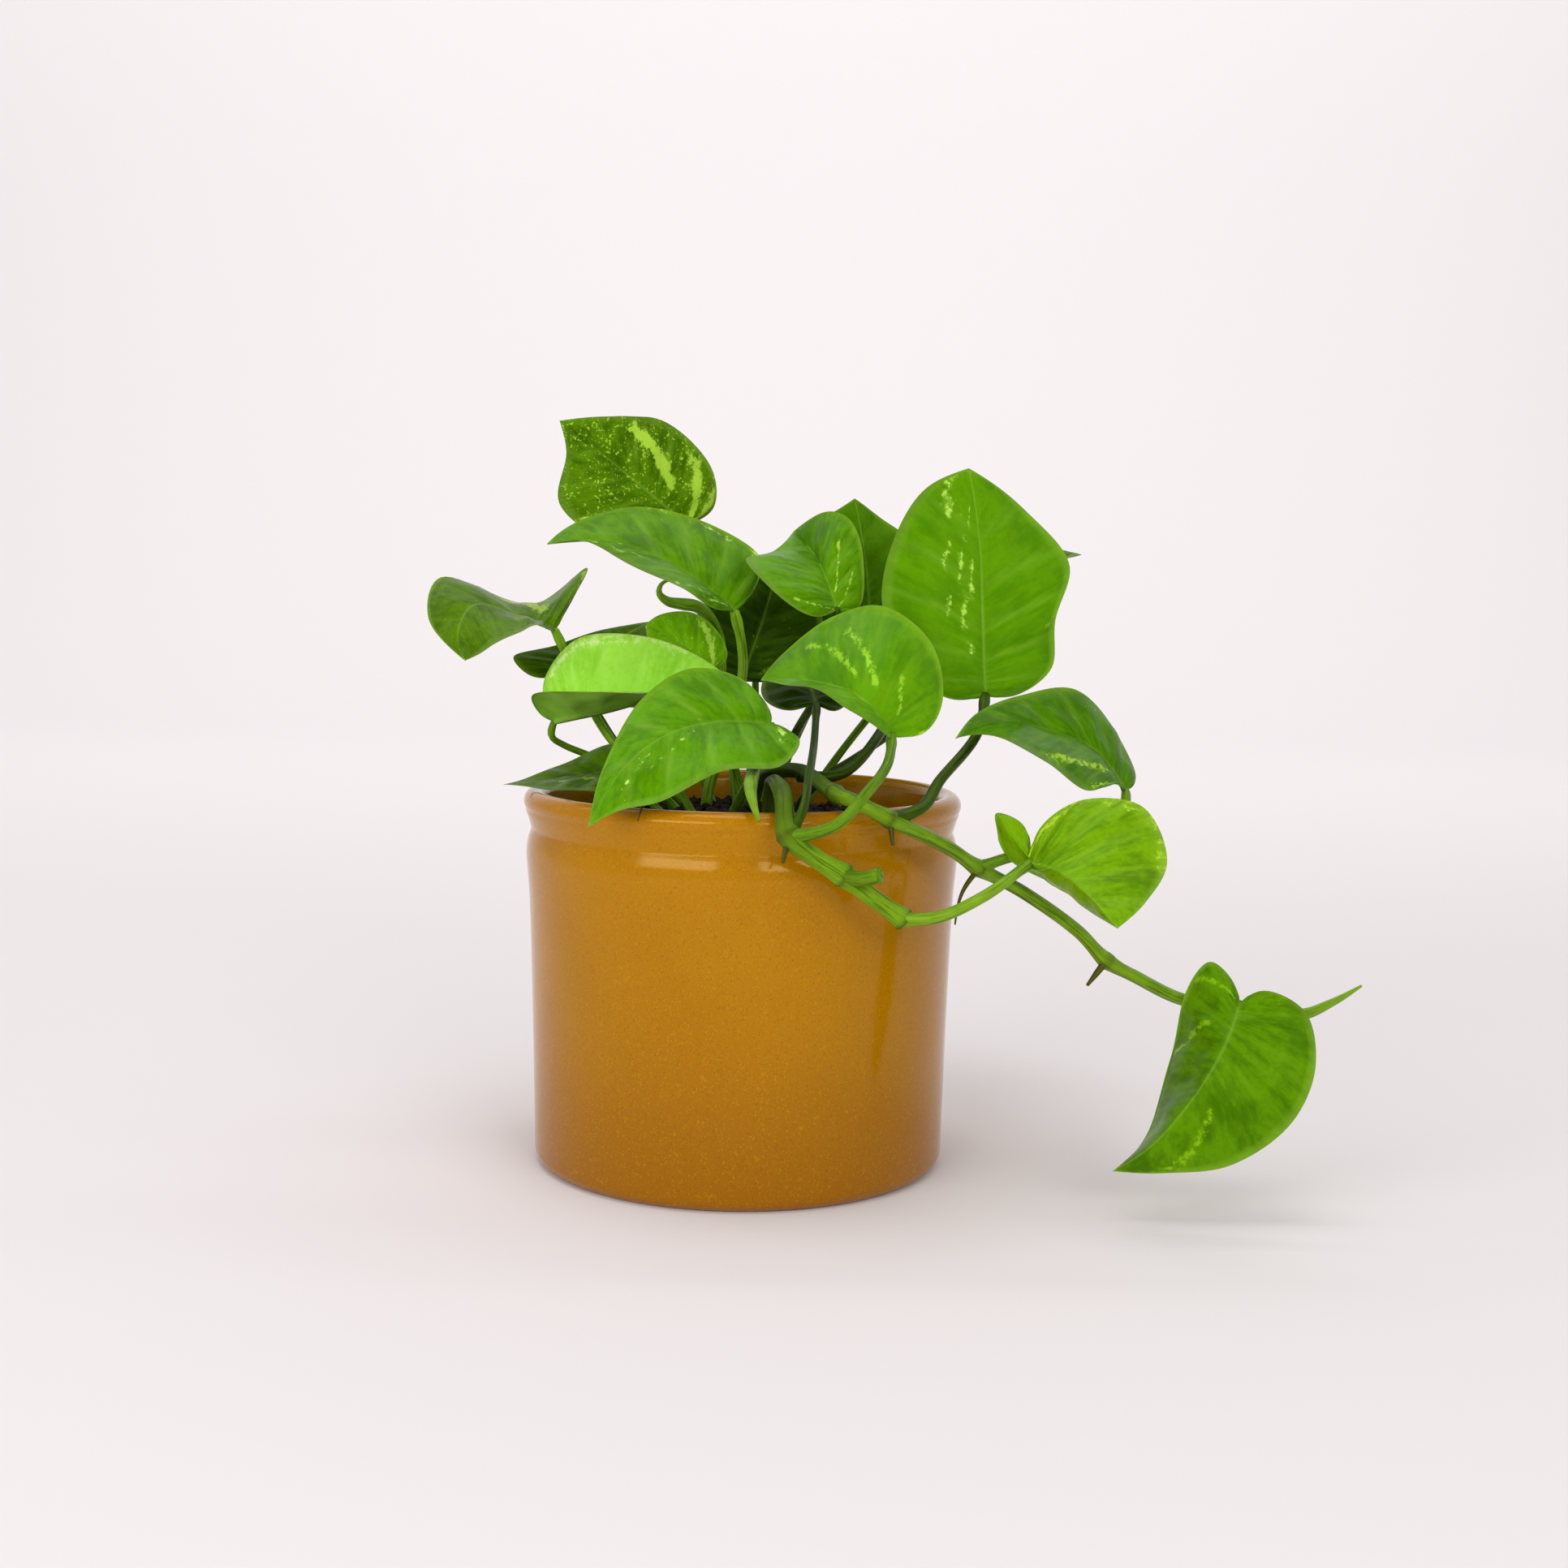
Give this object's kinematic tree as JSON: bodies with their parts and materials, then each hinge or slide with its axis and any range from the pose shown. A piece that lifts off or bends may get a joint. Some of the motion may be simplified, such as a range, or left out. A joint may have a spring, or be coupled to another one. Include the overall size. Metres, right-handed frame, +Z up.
{
  "type": "potted pothos plant",
  "caption": "Variegated trailing pothos with heart-shaped leaves and vines over the rim of a round glazed ceramic pot with a beaded rim.",
  "frame": {"origin": "centre of the pot's flat underside, on the pot's axis", "axes": "+Z up along the pot's axis; +X towards the side where the long vine trails; -Y towards the viewer of the picture"},
  "size_m": [0.3329, 0.2307, 0.2744],
  "materials": {
    "pot_glaze": "glossy mustard-ochre glaze with a fine light and dark speckle",
    "potting_soil": "matt, nearly black, crumbly peat soil",
    "leaf": "waxy mid green with yellow-green streaks and speckles, paler veins",
    "stalk": "satin yellow-green stalks with darker lines along them",
    "root": "matt dark olive-brown aerial roots and a dry husk"
  },
  "bodies": {
    "root": {"bud": "stalk", "cut_stalk": "stalk", "husk": "root", "leaf_back_left": "leaf", "leaf_behind_tall": "leaf", "leaf_bright": "leaf", "leaf_centre": "leaf", "leaf_centre_back": "leaf", "leaf_crown": "leaf", "leaf_far_left": "leaf", "leaf_front": "leaf", "leaf_long_left": "leaf", "leaf_low_left": "leaf", "leaf_rear_high": "leaf", "leaf_rear_left": "leaf", "leaf_rear_middle": "leaf", "leaf_rear_right": "leaf", "leaf_right": "leaf", "leaf_round": "leaf", "leaf_shade": "leaf", "leaf_small": "leaf", "leaf_tall": "leaf", "leaf_top_left": "leaf", "leaf_trailing": "leaf", "leaf_under": "leaf", "pot": "pot_glaze", "root_front": "root", "root_hanging": "root", "root_rim": "root", "root_trailing": "root", "sheath": "stalk", "soil": "potting_soil", "stalk_back_left": "stalk", "stalk_behind_tall": "stalk", "stalk_bright": "stalk", "stalk_centre": "stalk", "stalk_centre_back": "stalk", "stalk_crown": "stalk", "stalk_far_left": "stalk", "stalk_front": "stalk", "stalk_long_left": "stalk", "stalk_low_left": "stalk", "stalk_rear_high": "stalk", "stalk_rear_left": "stalk", "stalk_rear_middle": "stalk", "stalk_rear_right": "stalk", "stalk_right": "stalk", "stalk_round": "stalk", "stalk_shade": "stalk", "stalk_small": "stalk", "stalk_tall": "stalk", "stalk_top_left": "stalk", "stalk_trailing": "stalk", "stalk_under": "stalk", "vine_front": "stalk", "vine_tip": "stalk", "vine_trailing": "stalk"}
  },
  "joints": []
}
